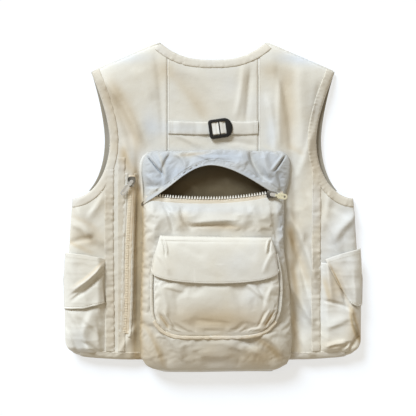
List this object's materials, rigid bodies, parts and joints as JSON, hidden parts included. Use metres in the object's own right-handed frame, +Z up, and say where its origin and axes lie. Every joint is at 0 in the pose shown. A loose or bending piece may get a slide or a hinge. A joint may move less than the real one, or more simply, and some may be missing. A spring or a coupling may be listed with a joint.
{
  "type": "fishing vest",
  "caption": "Sleeveless twill fishing vest laid on its front, with a zipped back bag, flap pockets, zips and an adjuster strap.",
  "frame": {"origin": "middle of the outline, on the surface that the vest lies on", "axes": "+Y from the hem towards the neck, +Z up out of the back, +X towards the wearer's right"},
  "size_m": [0.5728, 0.6362, 0.0824],
  "materials": {
    "twill": "stone cotton twill, lightly creased",
    "trim": "folded twill with double stitching, puckered",
    "lining": "plain woven lining, dull",
    "zip_tape": "woven herringbone tape, matte",
    "zip_teeth": "moulded teeth, satin",
    "metal": "plated casting, slightly worn",
    "buckle_plastic": "moulded black acetal, satin",
    "hook_tape": "hook and loop pile"
  },
  "bodies": {
    "vest": {"back_centre_panel": "twill", "back_panel_right": "twill", "back_panel_left": "twill", "front_panel_right": "twill", "front_panel_left": "twill", "side_panel_right": "twill", "side_panel_left": "twill", "shoulder_seam_right": "trim", "shoulder_seam_left": "trim", "neck_binding": "trim", "armhole_binding_right": "trim", "armhole_binding_left": "trim", "side_seam_strip_right": "trim", "side_seam_strip_left": "trim", "hem_band_right": "trim", "hem_band_left": "trim", "side_pocket_right": "twill", "side_pocket_left": "twill", "chest_pocket_right": "twill", "chest_pocket_left": "twill", "bag_lining": "lining", "bag_front": "twill", "bag_crown": "twill", "bag_zip_lower_tape": "zip_teeth", "bag_zip_upper_tape": "zip_teeth", "outer_pocket_body": "twill", "outer_pocket_binding": "zip_tape", "pocket_loop_tape": "hook_tape", "adjuster_strap_left": "twill", "adjuster_strap_right": "twill", "side_zip_tape": "zip_tape", "side_zip_teeth": "zip_teeth", "zip_pocket_bag": "lining", "front_zip_tape": "zip_tape", "front_zip_teeth": "zip_teeth"},
    "outer_flap": {"outer_pocket_flap": "twill", "flap_hook_tape": "hook_tape"},
    "side_flap_right": {"side_pocket_flap_right": "twill"},
    "side_flap_left": {"side_pocket_flap_left": "twill"},
    "buckle": {"strap_buckle": "buckle_plastic"},
    "side_slider": {"side_zip_slider": "metal"},
    "side_eye": {"side_zip_eye": "metal"},
    "side_pull": {"side_zip_pull": "metal"},
    "bag_slider": {"bag_zip_slider": "metal"},
    "bag_eye": {"bag_zip_eye": "metal"},
    "bag_pull": {"bag_zip_pull": "metal"},
    "front_slider": {"front_zip_slider": "metal"},
    "front_eye": {"front_zip_eye": "metal"},
    "front_pull": {"front_zip_pull": "metal"}
  },
  "joints": [
    {"name": "outer_flap_lift", "type": "hinge", "parent": "vest", "child": "outer_flap", "pos_m": [0.005, -0.056, 0.0632], "axis": [-1, 0, 0], "range_deg": [0, 120]},
    {"name": "side_flap_right_lift", "type": "hinge", "parent": "vest", "child": "side_flap_right", "pos_m": [0.249, -0.097, 0.0252], "axis": [-1, 0, 0], "range_deg": [0, 120]},
    {"name": "side_flap_left_lift", "type": "hinge", "parent": "vest", "child": "side_flap_left", "pos_m": [-0.249, -0.097, 0.0252], "axis": [-1, 0, 0], "range_deg": [0, 120]},
    {"name": "buckle_tilt", "type": "hinge", "parent": "vest", "child": "buckle", "pos_m": [-0.0078, 0.1488, 0.0257], "axis": [0.1392, -0.9903, 0], "range_deg": [0, 40]},
    {"name": "side_zip_slide", "type": "slide", "parent": "vest", "child": "side_slider", "axis": [-0.0408, -0.9992, 0], "range_m": [0, 0.28]},
    {"name": "side_eye_swing", "type": "hinge", "parent": "side_slider", "child": "side_eye", "pos_m": [-0.15699, 0.04901, 0.0315], "axis": [0, 0, 1], "range_deg": [-40, 80]},
    {"name": "side_pull_lift", "type": "hinge", "parent": "side_eye", "child": "side_pull", "pos_m": [-0.16124, 0.04344, 0.033], "axis": [-0.7951, 0.6065, 0], "range_deg": [0, 165]},
    {"name": "bag_zip_slide", "type": "slide", "parent": "vest", "child": "bag_slider", "axis": [-1, 0, 0], "range_m": [0, 0.215]},
    {"name": "bag_eye_swing", "type": "hinge", "parent": "bag_slider", "child": "bag_eye", "pos_m": [0.112, 0.0238, 0.0524], "axis": [0, 0, 1], "range_deg": [-65, 85]},
    {"name": "bag_pull_lift", "type": "hinge", "parent": "bag_eye", "child": "bag_pull", "pos_m": [0.11889, 0.02258, 0.05395], "axis": [-0.1736, -0.9848, 0], "range_deg": [0, 165]},
    {"name": "front_zip_slide", "type": "slide", "parent": "vest", "child": "front_slider", "axis": [0, -1, 0], "range_m": [0, 0.375]},
    {"name": "front_eye_swing", "type": "hinge", "parent": "front_slider", "child": "front_eye", "pos_m": [0, 0.096, 0.0037], "axis": [0, 0, 1], "range_deg": [-75, 75]},
    {"name": "front_pull_lift", "type": "hinge", "parent": "front_eye", "child": "front_pull", "pos_m": [0, 0.089, 0.0022], "axis": [1, 0, 0], "range_deg": [0, 165]}
  ]
}
